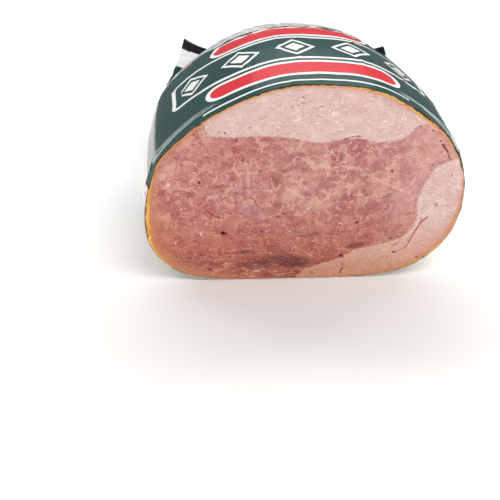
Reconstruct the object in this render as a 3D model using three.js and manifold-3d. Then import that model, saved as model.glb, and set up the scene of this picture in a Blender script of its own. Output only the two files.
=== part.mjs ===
// Half of a cooked ham loaf in its printed film bag, standing on its flattened underside.
// Millimetres, +Z up. The cut faces -Y, the bag's sealed end points to +Y, and the origin is
// under the middle of the whole, on the surface it rests on.
import * as THREE from 'three';
import { ParametricGeometry } from 'three/addons/geometries/ParametricGeometry.js';
import { mergeVertices } from 'three/addons/utils/BufferGeometryUtils.js';
import Module from 'manifold-3d';

// Driving dimensions of the loaf
const LOAF_LENGTH = 170;        // from the cut to the rounded back
const AXIS_HEIGHT = 58;         // height of the back's tip above the loaf's underside
const SIDE_POWER = 2.75;        // how late the sides, top and underside round off
const TOP_POWER = 3.1;
const BOTTOM_POWER = 4.5;
const BACK_DRIFT = -12.5;       // sideways lean of the back's tip

// The cut's outline, x and height, 184 wide and 120 high, with the underside pressed flat at 0
const CUT_OUTLINE = [
  [-92, 42.5], [-88.5, 21], [-72, 5.5], [-46, 0], [-22, -1.2], [10, -1.2], [44, 1.5],
  [63, 7], [80.5, 20.5], [90, 40], [91.5, 62.5], [84, 82.5], [71, 97], [45, 114],
  [17, 119.5], [-16, 118], [-52, 103], [-79.5, 80.5], [-87.5, 65],
];

// The two pale muscles that show at the cut, each by the seam it shares with the coarse meat
const TOP_SEAM = [
  [-64, 112], [-58.5, 98], [-54, 90.8], [-44, 89.8], [-31, 89.8], [-15, 89.4], [-3, 87.3],
  [8, 85], [20, 86.8], [30, 87.4], [41, 84.8], [51, 85], [57, 87.8], [62, 92.5], [68, 96],
  [73, 106],
];
const SIDE_SEAM = [
  [100, 78], [86, 73], [76, 68.5], [69.5, 58.5], [65.5, 47], [64.8, 34.5], [58, 25.5],
  [45, 20.5], [30, 17.2], [20, 12], [8, 8], [-3, 2.5], [-11, -9],
];
const MUSCLE_TAPER = 0.72;      // size of the muscles at the loaf's back, against the cut
const MUSCLE_DRIFT = -8.75;     // and how far they lean sideways there

// Pores in the cut: x, height, half width, half height, turn in degrees, depth
const PORES = [
  [-61.2, 58.6, 1.0, 1.2, 0, 1.2],
  [-47.4, 27.3, 2.2, 1.3, 8, 1.8],
  [-65.3, 51.1, 0.8, 0.9, 0, 1.0],
  [49.7, 66.1, 1.2, 1.2, 0, 1.4],
  [29.6, 32.9, 1.3, 0.8, 15, 1.0],
  [19.8, 13.6, 1.9, 1.1, -20, 1.6],
  [-55.0, 8.2, 1.5, 1.0, 25, 1.4],
  [81.8, 77.6, 1.0, 5.2, 19, 2.4],
];

// The film bag
const GAP = 0.3;                // clearance between neighbouring pieces
const FILM = 0.7;               // the film, drawn thicker than it is
const FILM_EDGE = 0.6;          // how far the film's edge stands behind the cut
const BAG_LENGTH = 200;         // from the cut to the end of the sealed flap
const SEAL_START = 182;         // where the two plies meet behind the loaf
const WEDGE_START = 110;        // where the bag's side folds begin to leave the loaf
const WEDGE_HEIGHT = 13;        // of each ply above the seal's level, at the loaf's tip
const WEDGE_MOST = 28.6;        // and the most it has beside the loaf
const FLAP_WIDTH = 153;         // across the bag beside the loaf's back
const FLAP_END_WIDTH = 132.4;
const FLAP_TAPER_START = 165;
const FLAP_HALF_THICKNESS = 0.8;
const FLAP_RISE_START = 150;    // where the bag's middle begins to rise to the flap's end
const FLAP_RISE_POWER = 1.6;
const FLAP_END_RISE = 7;
const FLAP_SHIFT = 1.5;         // sideways place of the flap's end
const LEFT_CURL = 12.6;         // of the flap's corners above its middle
const RIGHT_CURL = 4.5;
const DROOP_START = 90;
const SIDE_DROOP = 12;          // of the bag's side folds beside the loaf's back
const PLEATS = 5;               // on each side of the bag's middle
const PLEAT_HEIGHT = 1.1;
const FLAP_PLEAT_SHARE = 0.25;  // of that height, at the flap's end
const FOLD_AT = 7.5;            // the ridge in the film behind the cut, upper left
const FOLD_WIDTH = 2.6;
const FOLD_HEIGHT = 1.1;

// Facets
const LOAF_SIDES = 88;
const LOAF_RINGS = 13;
const BAG_SIDES = 88;

const LIFT = GAP + FILM;        // the loaf lies on the film's thickness
const FRONT = -BAG_LENGTH / 2;

const wasm = await Module();
wasm.setup();

const { clamp, degToRad, lerp, smoothstep } = THREE.MathUtils;

// The outline's points and outward normals, evenly spaced in the curve's parameter
const outlineCurve = new THREE.CatmullRomCurve3(
  CUT_OUTLINE.map(([x, z]) => new THREE.Vector3(x, 0, z)), true, 'catmullrom', 0.5);
const outline = Array.from({ length: LOAF_SIDES }, (_, i) => {
  const point = outlineCurve.getPoint(i / LOAF_SIDES);
  const along = outlineCurve.getTangent(i / LOAF_SIDES);
  return { x: point.x, z: point.z, nx: along.z, nz: -along.x };
});

// Size of the section at a share t of the loaf's length, 1 at the cut and 0 at the back's tip
function fall(t, power) {
  return Math.pow(1 - Math.pow(clamp(t, 0, 1), power), 1 / power);
}

function drift(distance) {
  return BACK_DRIFT * Math.pow(clamp(distance / LOAF_LENGTH, 0, 1), 2);
}

// A point of the loaf's skin, grown outwards by a clearance or the film's thickness
function skinPoint(side, distance, grow, target) {
  const t = distance / (LOAF_LENGTH + grow);
  const { x, z, nx, nz } = outline[side];
  const width = fall(t, SIDE_POWER);
  const height = fall(t, z > AXIS_HEIGHT ? TOP_POWER : BOTTOM_POWER);
  const out = grow * Math.min(1, 3 * width);
  const level = Math.max(0, AXIS_HEIGHT + (z - AXIS_HEIGHT) * height);
  return target.set(x * width + nx * out + drift(distance), FRONT + distance, LIFT + level + nz * out);
}

// A closed solid through rings at the given distances, each end drawn in to the ring's middle
function loft(pointAt, middleAt, distances, sides) {
  const rows = distances.length + 1;
  const geometry = new ParametricGeometry((u, v, target) => {
    const row = Math.round(v * rows);
    const distance = distances[clamp(row - 1, 0, distances.length - 1)];
    if (row === 0 || row === rows) middleAt(distance, target);
    else pointAt(Math.round((1 - u) * sides) % sides, distance, target);
  }, sides, rows);
  return toSolid(geometry);
}

function toSolid(source) {
  const bare = source.clone();
  bare.deleteAttribute('normal');
  bare.deleteAttribute('uv');
  const merged = mergeVertices(bare, 1e-4);
  const corners = merged.index.array;
  const kept = [];
  for (let i = 0; i < corners.length; i += 3) {
    const [a, b, c] = [corners[i], corners[i + 1], corners[i + 2]];
    if (a !== b && b !== c && c !== a) kept.push(a, b, c);
  }
  return new wasm.Manifold(new wasm.Mesh({
    numProp: 3,
    vertProperties: new Float32Array(merged.attributes.position.array),
    triVerts: new Uint32Array(kept),
  }));
}

function toGeometry(solid) {
  const mesh = solid.getMesh();
  const geometry = new THREE.BufferGeometry();
  geometry.setAttribute('position', new THREE.BufferAttribute(mesh.vertProperties, 3));
  geometry.setIndex(new THREE.BufferAttribute(mesh.triVerts, 1));
  geometry.computeVertexNormals();
  return geometry;
}

// Ring places that follow the rounding, close together near the back's tip
function loafDistances(start, grow) {
  const places = [start];
  for (let i = 1; i < LOAF_RINGS; i += 1) {
    const turn = degToRad(90 * i / LOAF_RINGS);
    places.push((LOAF_LENGTH + grow) * Math.pow(Math.sin(turn), 2 / SIDE_POWER));
  }
  places.push((LOAF_LENGTH + grow) * 0.9995);
  return places;
}

function loafSolid(start, grow) {
  return loft(
    (side, distance, target) => skinPoint(side, distance, grow, target),
    (distance, target) => target.set(drift(distance), FRONT + distance, LIFT + AXIS_HEIGHT),
    loafDistances(start, grow), LOAF_SIDES);
}

// Everything beyond a seam: the region's side view run along the loaf and narrowed to its back
function muscleRegion(seam, corners, grow) {
  const line = new THREE.SplineCurve(seam.map(([x, z]) => new THREE.Vector2(x, z)));
  const steps = 3 * (seam.length - 1);
  const edge = Array.from({ length: steps + 1 }, (_, i) => {
    const along = line.getTangent(i / steps);
    return line.getPoint(i / steps).add(new THREE.Vector2(along.y, -along.x).multiplyScalar(grow));
  });
  const shape = new THREE.Shape(edge.concat(corners.map(([x, z]) => new THREE.Vector2(x, z))));
  const depth = LOAF_LENGTH + 20;
  const geometry = new THREE.ExtrudeGeometry(shape, { depth, bevelEnabled: false });
  geometry.rotateX(Math.PI / 2);
  geometry.translate(0, depth - 10, 0);
  const position = geometry.attributes.position;
  for (let i = 0; i < position.count; i += 1) {
    const back = clamp(position.getY(i) / LOAF_LENGTH, 0, 1);
    const size = lerp(1, MUSCLE_TAPER, back);
    position.setXYZ(i,
      position.getX(i) * size + MUSCLE_DRIFT * back,
      FRONT + position.getY(i),
      LIFT + AXIS_HEIGHT + (position.getZ(i) - AXIS_HEIGHT) * size);
  }
  return toSolid(geometry);
}

const topRegion = (grow) => muscleRegion(TOP_SEAM, [[73, 200], [-64, 200]], grow);
const sideRegion = (grow) => muscleRegion(SIDE_SEAM, [[-11, -80], [200, -80], [200, 78]], grow);

function pores() {
  return PORES.map(([x, z, halfWidth, halfHeight, turn, depth]) => {
    const pore = new THREE.SphereGeometry(1, 10, 6);
    pore.scale(halfWidth, depth, halfHeight);
    pore.rotateY(degToRad(-turn));
    pore.translate(x, FRONT, LIFT + z);
    return toSolid(pore);
  }).reduce((all, pore) => all.add(pore));
}

// Outward ridge of the film where it was folded back from the knife
function foldRidge(side, distance) {
  const { x, z } = outline[side];
  const around = smoothstep(-x, 30, 62) * smoothstep(z, 40, 62);
  const across = (distance - FOLD_AT) / FOLD_WIDTH;
  return FOLD_HEIGHT * around * Math.exp(-across * across);
}

// The tight film's section, with its two widest points
function tightSection(distance) {
  const points = outline.map((_, side) =>
    skinPoint(side, distance, LIFT + foldRidge(side, distance), new THREE.Vector3()));
  const byWidth = [...points].sort((a, b) => a.x - b.x);
  return { points, left: byWidth[0], right: byWidth.at(-1) };
}

// Height of a section's upper or lower line at x
function lineHeight({ points, left, right }, x, upper) {
  if (x <= left.x) return left.z;
  if (x >= right.x) return right.z;
  const heights = [];
  points.forEach((a, i) => {
    const b = points[(i + 1) % points.length];
    if ((a.x <= x) !== (b.x <= x)) heights.push(lerp(a.z, b.z, (x - a.x) / (b.x - a.x)));
  });
  return upper ? Math.max(...heights) : Math.min(...heights);
}

// The bag beyond the loaf: a wedge of two plies that closes to the sealed flap
function wedgeAt(distance) {
  const shareFrom = (start) => clamp((distance - start) / (BAG_LENGTH - start), 0, 1);
  const rise = Math.pow(shareFrom(FLAP_RISE_START), FLAP_RISE_POWER);
  const open = WEDGE_HEIGHT * Math.max(0, SEAL_START - distance) / (SEAL_START - LOAF_LENGTH);
  const pleated = smoothstep(distance, LOAF_LENGTH - 4, SEAL_START - 4);
  const pressed = smoothstep(distance, SEAL_START, BAG_LENGTH);
  return {
    x: lerp(drift(distance), FLAP_SHIFT, smoothstep(distance, WEDGE_START + 20, BAG_LENGTH)),
    z: LIFT + AXIS_HEIGHT + FLAP_END_RISE * rise,
    halfWidth: lerp(FLAP_WIDTH, FLAP_END_WIDTH, shareFrom(FLAP_TAPER_START)) / 2,
    rise,
    open: Math.min(open, WEDGE_MOST),
    droop: SIDE_DROOP * Math.sin(Math.PI * shareFrom(DROOP_START)),
    pleat: PLEAT_HEIGHT * pleated * lerp(1, FLAP_PLEAT_SHARE, pressed),
  };
}

function wedgeHeight(wedge, x, upper) {
  const across = clamp((x - wedge.x) / wedge.halfWidth, -1, 1);
  const inner = 1 - across * across;
  const ply = wedge.open * inner + FLAP_HALF_THICKNESS * Math.pow(inner, 0.2);
  const curl = (across < 0 ? LEFT_CURL : RIGHT_CURL) * wedge.rise * Math.pow(across, 4);
  const pleat = wedge.pleat * inner * Math.cos(2 * Math.PI * PLEATS * across);
  return wedge.z + (upper ? ply : -ply) + curl - wedge.droop * across * across + pleat;
}

// A ring of the bag's outside: at each x the higher, or below the lower, of loaf and wedge
function bagRing(distance) {
  const tight = distance < LOAF_LENGTH ? tightSection(distance) : null;
  const wedge = distance >= WEDGE_START ? wedgeAt(distance) : null;
  const edges = [];
  if (tight) edges.push(tight.left.x, tight.right.x);
  if (wedge) edges.push(wedge.x - wedge.halfWidth, wedge.x + wedge.halfWidth);
  const left = Math.min(...edges);
  const right = Math.max(...edges);
  const halfWidth = (right - left) / 2;
  const points = Array.from({ length: BAG_SIDES }, (_, side) => {
    const turn = 2 * Math.PI * side / BAG_SIDES;
    const x = (left + right) / 2 + (halfWidth - 1e-6) * Math.cos(turn);
    const upper = side <= BAG_SIDES / 2;
    const choose = upper ? Math.max : Math.min;
    const heights = [];
    if (tight && x >= tight.left.x && x <= tight.right.x) heights.push(lineHeight(tight, x, upper));
    if (wedge && Math.abs(x - wedge.x) <= wedge.halfWidth) heights.push(wedgeHeight(wedge, x, upper));
    return new THREE.Vector3(x, FRONT + distance, choose(...heights));
  });
  const height = wedge ? wedge.z : LIFT + AXIS_HEIGHT;
  const middle = new THREE.Vector3((left + right) / 2, FRONT + distance, height);
  return { points, middle };
}

function bagSolid() {
  const places = [
    FILM_EDGE, FOLD_AT - 1.2 * FOLD_WIDTH, FOLD_AT, FOLD_AT + 1.2 * FOLD_WIDTH, 24, 42, 58, 74, 88,
    100, 111, 121, 130, 138, 145, 151, 156, 160, 163.5, 166.5, 168.5, 169.9, 172, 175, 178, 182, 186,
    190, 195, BAG_LENGTH,
  ];
  const rings = new Map(places.map((distance) => [distance, bagRing(distance)]));
  return loft(
    (side, distance, target) => target.copy(rings.get(distance).points[side]),
    (distance, target) => target.copy(rings.get(distance).middle),
    places, BAG_SIDES);
}

const group = new THREE.Group();

function addPiece(name, solid, color, roughness) {
  const material = new THREE.MeshStandardMaterial({ color, roughness, metalness: 0 });
  const mesh = new THREE.Mesh(toGeometry(solid), material);
  mesh.name = name;
  group.add(mesh);
}

const loaf = loafSolid(0, 0);
const dents = pores();
addPiece('coarse_meat',
  loaf.subtract(topRegion(GAP / 2)).subtract(sideRegion(GAP / 2)).subtract(dents), 0xb98070, 0.5);
addPiece('pale_meat_top', loaf.intersect(topRegion(-GAP / 2)).subtract(dents), 0xdcb5aa, 0.5);
addPiece('pale_meat_side', loaf.intersect(sideRegion(-GAP / 2)).subtract(dents), 0xd3a494, 0.5);
addPiece('film_bag', bagSolid().subtract(loafSolid(-5, GAP)), 0x3c6458, 0.28);

export default group;
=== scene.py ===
from math import atan2, copysign, cos, pi, radians, sin

import bmesh
import bpy
import numpy as np
from mathutils import Matrix, Vector, noise


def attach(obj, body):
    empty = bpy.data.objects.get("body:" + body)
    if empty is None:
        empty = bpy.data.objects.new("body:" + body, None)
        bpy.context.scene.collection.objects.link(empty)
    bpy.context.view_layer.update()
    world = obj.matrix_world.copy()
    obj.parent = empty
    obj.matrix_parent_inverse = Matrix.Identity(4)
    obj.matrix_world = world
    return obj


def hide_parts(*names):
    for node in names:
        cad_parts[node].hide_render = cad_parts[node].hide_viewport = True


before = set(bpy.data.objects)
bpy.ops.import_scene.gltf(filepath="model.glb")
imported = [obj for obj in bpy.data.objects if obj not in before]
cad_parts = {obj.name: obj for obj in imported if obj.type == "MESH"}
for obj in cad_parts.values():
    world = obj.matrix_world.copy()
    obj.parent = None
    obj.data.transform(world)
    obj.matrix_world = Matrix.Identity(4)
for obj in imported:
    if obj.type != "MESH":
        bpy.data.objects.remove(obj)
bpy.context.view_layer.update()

MM = 0.001

# The loaf
LOAF_LENGTH = 170.0
AXIS_HEIGHT = 58.0
SIDE_POWER, TOP_POWER, BOTTOM_POWER = 2.75, 3.1, 4.5
BACK_DRIFT = -12.5
LIFT = 1.0                      # the loaf lies on the film
FRONT = -100.0
CUT_OUTLINE = [
    (-92, 42.5), (-88.5, 21), (-72, 5.5), (-46, 0), (-22, -1.2), (10, -1.2), (44, 1.5),
    (63, 7), (80.5, 20.5), (90, 40), (91.5, 62.5), (84, 82.5), (71, 97), (45, 114),
    (17, 119.5), (-16, 118), (-52, 103), (-79.5, 80.5), (-87.5, 65),
]
# The browned rind at each point of the outline: its width, and how amber it is
RIND_WIDTH = [3.2, 3.8, 3.2, 1.8, 0.9, 0.8, 0.9, 1.6, 2.0, 1.6, 0.5, 0.7, 1.1, 1.2, 0.7, 0.6, 0.6, 0.6, 1.0]
RIND_AMBER = [1, 0.7, 0.35, 0.1, 0, 0, 0.2, 0.7, 0.6, 0.6, 0.1, 0.8, 0.9, 1, 0.9, 0.85, 0.85, 0.85, 0.95]

TOP_SEAM = [
    (-64, 112), (-58.5, 98), (-54, 90.8), (-44, 89.8), (-31, 89.8), (-15, 89.4), (-3, 87.3),
    (8, 85), (20, 86.8), (30, 87.4), (41, 84.8), (51, 85), (57, 87.8), (62, 92.5), (68, 96),
    (73, 106),
]
SIDE_SEAM = [
    (100, 78), (86, 73), (76, 68.5), (69.5, 58.5), (65.5, 47), (64.8, 34.5), (58, 25.5),
    (45, 20.5), (30, 17.2), (20, 12), (8, 8), (-3, 2.5), (-11, -9),
]

# Pores in the cut: x, height, half width, half height, turn in degrees, depth
PORES = [
    (-60.8, 61.8, 0.8, 0.9, 0, 0.9), (-47.1, 29.0, 2.0, 0.7, 0, 1.5), (-47.4, 29.8, 0.95, 0.85, 0, 1.7),
    (-66.8, 53.6, 0.5, 0.6, 0, 0.7), (49.8, 66.6, 0.75, 0.8, 0, 0.9), (30.3, 34.4, 1.2, 0.7, 30, 1.0),
    (21.4, 13.1, 1.4, 0.9, -20, 1.5), (-55.3, 6.4, 1.4, 0.8, 20, 1.2), (-24.8, 30.0, 1.1, 0.5, -10, 0.8),
    (52.5, 15.0, 1.1, 0.6, 0, 0.8), (50.2, 23.8, 0.9, 0.5, 20, 0.6), (-66.5, 13.9, 1.2, 0.45, 0, 0.6),
    (66.0, 11.4, 0.8, 0.9, 20, 0.6),
]

# Patches in the cut: x, height, half width, half height, turn in degrees, strength
ROSE = [
    (-40.1, 87.3, 3.0, 1.6, 0, 1.0), (-39.8, 81.8, 2.6, 2.6, 0, 0.9), (-48.6, 82.0, 2.5, 2, 0, 0.5),
    (-41.9, 63.3, 2.5, 2, 0, 0.7), (-82.6, 55.5, 2.6, 4, 0, 0.8), (-16.7, 61.4, 4.5, 6.5, 0, 0.85),
    (-17.2, 47.0, 5, 3.5, 0, 0.6), (-3.0, 63.0, 2.6, 3.8, 0, 0.4), (14.3, 60.7, 8, 5, 0, 0.45),
    (18.6, 76.2, 4, 3, 0, 0.9), (24.9, 51.0, 5, 3, 20, 0.8), (20.4, 43.5, 5, 3, 0, 0.8),
    (30.5, 80.9, 8, 5, 0, 0.8), (50.0, 78.6, 5, 3, 0, 0.6), (57.3, 66.0, 4, 8, 0, 0.6),
    (62.1, 61.8, 3, 2.5, 0, 0.8), (35.5, 41.9, 6, 4, 0, 0.6), (-78.1, 50.3, 5, 4, 0, 0.4),
    (-15.1, 39.3, 3, 0.9, -20, 0.9), (-54.1, 42.2, 6, 1, -25, 0.6), (55.7, 79.7, 7, 3, 25, 0.6),
    (-61.0, 90.2, 3, 2, 30, 0.5), (-74.8, 41.4, 4, 3, 0, 0.5), (-29.3, 29.4, 6, 4, 0, 0.4),
    (47.2, 37.8, 2.5, 2.5, 0, 0.5), (-26, 87.6, 10, 1.1, 0, 0.6), (27, 85.8, 8, 1.6, 5, 0.75),
]
# Painted shade: dark purple-brown patches low in the cut, where the coarse meat lies in shade
SHADE_PATCHES = [
    (-9.4, 10.8, 12, 4.5, -8, 1), (-24.6, 9.9, 10, 4, 0, 0.6), (-31.6, 8.1, 12, 3, 0, 0.5),
    (30.2, 20.5, 8, 2.2, 12, 0.7), (4.4, 27.3, 12, 4, 0, 0.25), (18.5, 19.8, 8, 3, 10, 0.35),
    (-34.5, 16.7, 10, 2, 4, 0.4), (-69.5, 11.7, 8, 2, 0, 0.35),
]
CREAM = [
    (-32.7, 62.4, 1.2, 9, 0, 0.9), (-79.5, 35.8, 2, 7, -15, 0.6), (10.7, 32.3, 5, 1.8, -35, 1.0),
    (10.6, 72.0, 4, 4, 0, 0.6), (-8.6, 53.1, 7, 5, 40, 0.7), (6.5, 46.4, 8, 5, 0, 0.6),
    (-67.4, 74.4, 3, 1.5, 0, 0.8), (-43.7, 47.6, 5, 2.5, -15, 0.6), (-79.4, 69.1, 9, 2, 52, 0.7),
    (62.7, 76.4, 7, 6, 0, 0.5), (-41.9, 51.3, 1.5, 4, 20, 0.6), (15.8, 102.6, 4.0, 1.6, 12, 0.7),
    (20.1, 110.3, 1.4, 6, -15, 0.5), (66.5, 97.8, 6, 1.8, -38, 0.9), (-69, 85.5, 8, 1.8, 44, 0.8),
    (-61.5, 96.5, 3.2, 4.5, 35, 0.75), (-55, 88.5, 5, 1.2, 0, 0.5), (86.5, 76, 3, 7, 12, 0.9),
]
LILAC = [(-51.7, 54.1, 5.5, 3.2, -15, 0.7), (-30.4, 42.8, 9, 4, -32, 1.0)]

# Small dark pits and bright flecks of fat: x, height, half width, half height
PITS = [
    (-50.3, 55.5, 0.5, 0.6), (-49.7, 48.6, 0.45, 0.4), (-75.6, 35.6, 0.6, 0.5), (-63.8, 25.4, 0.6, 0.8),
    (-74.7, 26.3, 0.7, 0.5), (-71.7, 14.1, 0.6, 0.4), (-39.9, 12.0, 0.9, 0.4), (23.5, 59.0, 0.5, 0.5),
    (48.5, 11.7, 0.5, 0.6), (72.5, 67.1, 0.5, 0.5), (16.7, 79.6, 0.5, 0.5), (24.3, 72.0, 0.6, 0.5),
    (46.1, 75.0, 0.6, 0.4), (48.6, 76.1, 0.5, 0.4), (54.9, 80.6, 0.55, 0.5), (33.5, 85.7, 0.9, 0.5),
    (-63.5, 91.7, 0.9, 0.7), (-74.0, 77.5, 1.1, 0.5), (-63.8, 85.6, 0.8, 0.6), (-49.4, 93.0, 0.9, 0.4),
    (-45.8, 92.4, 0.7, 0.6), (-31.3, 95.3, 0.9, 0.4), (-39.7, 87.2, 1.1, 0.7), (-49.8, 39.9, 1.6, 0.5),
    (65.3, 94.1, 0.7, 0.5), (72.9, 91.1, 1.3, 0.5), (77.2, 84.8, 0.8, 0.7), (35.2, 51.8, 1.1, 0.5),
    (48.2, 44.8, 0.7, 0.6), (38.5, 36.7, 0.5, 0.4), (-81.9, 18.0, 1.6, 0.5), (-28.7, 12.0, 1.5, 0.5),
    (46.5, 42.9, 0.5, 0.5), (84.5, 63.5, 0.4, 0.8), (-12.0, 41.4, 1.6, 0.6),
]
FLECKS = [
    (36.8, 63.1, 0.6, 0.6), (55.2, 54.7, 0.9, 0.8), (-59.9, 29.6, 0.7, 1.9), (-49.4, 82.2, 0.7, 0.6),
    (18.8, 48.3, 1.0, 0.6), (27.2, 48.1, 0.8, 0.6), (20.6, 34.3, 1.6, 0.7), (35.8, 30.7, 1.2, 0.5),
    (-63.5, 68.1, 1.5, 0.4), (1.9, 44.3, 0.8, 0.9), (-74.7, 23.8, 0.5, 1.4), (-71.3, 45.4, 1.0, 0.8),
    (-63.3, 37.3, 0.6, 0.6), (-41.5, 19.1, 0.9, 0.4), (14.1, 100.8, 1.6, 0.5), (16.3, 103.5, 1.8, 0.8),
    (73.4, 46.3, 2.0, 0.5), (65.3, 33.9, 1.0, 0.8), (66.9, 98.8, 1.6, 1.0), (60.6, 99.8, 1.3, 0.5),
    (21.8, 87.9, 1.3, 0.5), (26.2, 93.2, 1.2, 0.3), (68.7, 96.0, 1.8, 0.6), (-0.9, 80.9, 0.8, 0.5),
    (-28.1, 4.8, 3, 0.4),
]

# Thin lines in the cut, each with its half width
VEINS = [
    (0.4, [(71.1, 36.8), (68.0, 34.4), (66.1, 31.2), (64.3, 28.4)]),
    (0.25, [(64.3, 28.4), (62.0, 23.6), (59.9, 19.2), (57.4, 17.0)]),
    (0.05, [(57.4, 17.0), (55.0, 16.0), (52.5, 15.3)]),
    (0.25, [(67.4, 36.9), (68.0, 34.4)]),
    (0.3, [(-56.9, 44.8), (-54.6, 42.8), (-52.4, 40.8), (-49.5, 40.0)]),
]
FAT_LINES = [
    (0.3, [(80.2, 48.8), (76.5, 46.9), (74.3, 44.1), (71.0, 40.4), (66.5, 35.4), (65.0, 30.9)]),
    (0.2, [(65.0, 30.9), (61.0, 27.2), (56.6, 23.6), (51.3, 19.7), (46.3, 16.4)]),
    (0.4, [(23.0, 88.2), (26.0, 89.4), (30.0, 89.9)]),
    (0.8, [(63.2, 100.8), (67.9, 97.8), (71.2, 95.0), (74.4, 92.0)]),
]
CRACKS = [
    (0.2, [(-35.2, 78.9), (-35.6, 76.2), (-35.8, 74.3)]),
    (0.25, [(-31.9, 51.5), (-29.9, 50.7), (-27.6, 48.8)]),
    (0.25, [(21.8, 87.1), (25.2, 88.0), (27.4, 88.6), (30.8, 88.7)]),
    (0.55, [(78.2, 82.5), (79.6, 80.3), (81.3, 78.1)]),
    (0.3, [(81.3, 78.1), (81.8, 76.0), (82.9, 73.3)]),
    (0.3, [(23.2, 6.1), (21.8, 4.1), (21.0, 2.1)]),
    (0.15, [(56.6, 23.6), (53.4, 20.6), (50.9, 19.4)]),
    (0.15, [(6.7, 106.4), (8.4, 107.1), (10.1, 107.2)]),
]

# The film bag
FILM_EDGE = 0.6                 # how far the film's edge stands behind the cut
BAG_LENGTH = 200.0
SEAL_START = 182.0
WEDGE_START, WEDGE_HEIGHT, WEDGE_MOST = 110.0, 13.0, 28.6
FLAP_WIDTH, FLAP_END_WIDTH, FLAP_TAPER_START = 153.0, 132.4, 165.0
FLAP_HALF_THICKNESS = 0.8
FLAP_RISE_START, FLAP_RISE_POWER, FLAP_END_RISE, FLAP_SHIFT = 150.0, 1.6, 7.0, 1.5
LEFT_CURL, RIGHT_CURL = 12.6, 4.5
DROOP_START, SIDE_DROOP = 90.0, 12.0
PLEATS, PLEAT_HEIGHT, FLAP_PLEAT_SHARE = 5, 1.1, 0.25
FOLD_AT, FOLD_SLANT, FOLD_WIDTH, FOLD_HEIGHT = 6.5, 7.0, 2.8, 1.2
RIGHT_FOLD_AT, RIGHT_FOLD_SLANT, RIGHT_FOLD_WIDTH, RIGHT_FOLD_HEIGHT = 5.0, 9.0, 2.0, 0.9
EDGE_PULL = 0.36                # how much closer the film is drawn to the meat at the cut
EDGE_REACH = 14.0               # the film's edge waves this far back
SLACK_ON_LOAF = 0.55            # how far it can dent before it meets the meat
CRUMPLE, TENSION_FOLD = 1.5, 0.6
MOST_DENT, FLOOR_GAP = 2.2, 0.02
FREE, MOST_FREE = 30.0, 8       # the slack where no meat is under the film, and the most that counts
FILM_THICKNESS = 0.25           # real film is 0.09, too thin to show at its edge
FILM_SIDES = 260
GIRTH = 504.3                   # round the flat print, the same all along the bag


# Curves and distances

def spline(points, steps, closed=False):
    """Points on the smooth curve through the given ones, some steps to a span."""
    points = np.array(points, float)
    count = len(points)
    found = []
    for span in range(count if closed else count - 1):
        around = [span + k for k in (-1, 0, 1, 2)]
        a, b, c, d = points[[k % count if closed else min(max(k, 0), count - 1) for k in around]]
        for step in range(steps):
            t = step / steps
            found.append(0.5 * (2 * b + (c - a) * t + (2 * a - 5 * b + 4 * c - d) * t * t
                                + (3 * b - a - 3 * c + d) * t ** 3))
    if not closed:
        found.append(points[-1])
    return np.array(found)


def smoothstep(value, low, high):
    t = np.clip((value - low) / (high - low), 0, 1)
    return t * t * (3 - 2 * t)


def line_distance(x, z, line, closed=False):
    """Distance of each point to a line of points, the side it is on (1 left, -1 right), and
    how many points along the line the nearest place is."""
    start = np.array(line, float)
    end = np.roll(start, -1, axis=0)
    if not closed:
        start, end = start[:-1], end[:-1]
    way = end - start
    length2 = (way ** 2).sum(1)
    distance, side, nearest = np.empty(len(x)), np.empty(len(x)), np.empty(len(x))
    batch = 4000
    for first in range(0, len(x), batch):
        part = slice(first, first + batch)
        dx = x[part, None] - start[None, :, 0]
        dz = z[part, None] - start[None, :, 1]
        t = np.clip((dx * way[:, 0] + dz * way[:, 1]) / length2, 0, 1)
        gap = np.hypot(dx - t * way[:, 0], dz - t * way[:, 1])
        best = gap.argmin(1)
        row = np.arange(len(best))
        distance[part] = gap[row, best]
        turned = way[best, 0] * dz[row, best] - way[best, 1] * dx[row, best]
        side[part] = np.where(turned >= 0, 1.0, -1.0)
        nearest[part] = best + t[row, best]
    return distance, side, nearest


def line_field(x, z, lines):
    """Distance to the nearest of some thin lines, less its half width."""
    field = np.full(len(x), 9.0)
    for half_width, points in lines:
        distance = line_distance(x, z, spline(points, 4))[0]
        field = np.minimum(field, distance - half_width)
    return field


def patch_field(x, z, patches):
    """Soft-edged strength of some turned ellipses."""
    field = np.zeros(len(x))
    for middle_x, middle_z, half_width, half_height, turn, strength in patches:
        c, s = cos(radians(turn)), sin(radians(turn))
        across = ((x - middle_x) * c + (z - middle_z) * s) / half_width
        along = ((z - middle_z) * c - (x - middle_x) * s) / half_height
        field = np.maximum(field, strength * np.exp(-0.9 * (across ** 2 + along ** 2) ** 1.3))
    return field


def uneven(x, z, width, height, seed, octaves=1):
    """Smooth noise from -1 to 1 with bumps of the given width and height."""
    return np.array([noise.fractal(Vector((a, seed, b)), 1.0, 2.0, octaves)
                     for a, b in zip(x / width, z / height)])


SPLINE_STEPS = 20
OUTLINE = spline(CUT_OUTLINE, SPLINE_STEPS, closed=True)
OUTLINE_WAY = np.roll(OUTLINE, -1, axis=0) - np.roll(OUTLINE, 1, axis=0)
OUTLINE_WAY /= np.hypot(*OUTLINE_WAY.T)[:, None]
OUTLINE_OUT = np.stack([OUTLINE_WAY[:, 1], -OUTLINE_WAY[:, 0]], axis=1)


# Meat

RELIEF_DEPTH = 0.42             # the cut's mean level behind the knife's plane
FACE_DEPTH = 3.5                # the outside is all rind from this far behind the cut
GROWTH = 0.14                   # just under half the gap between the solids, so it all but closes
BEHIND_PORES = 2.8              # the solids' own pores end before this depth
SMOOTH_BELOW = radians(50)      # edges that bend more are sharp
CELL = 0.48                     # of the relief's grid
SLAB_LEFT, SLAB_RIGHT, SLAB_LOW, SLAB_HIGH, SLAB_BACK = -96.0, 96.0, -2.0, 125.0, 90.0


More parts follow.
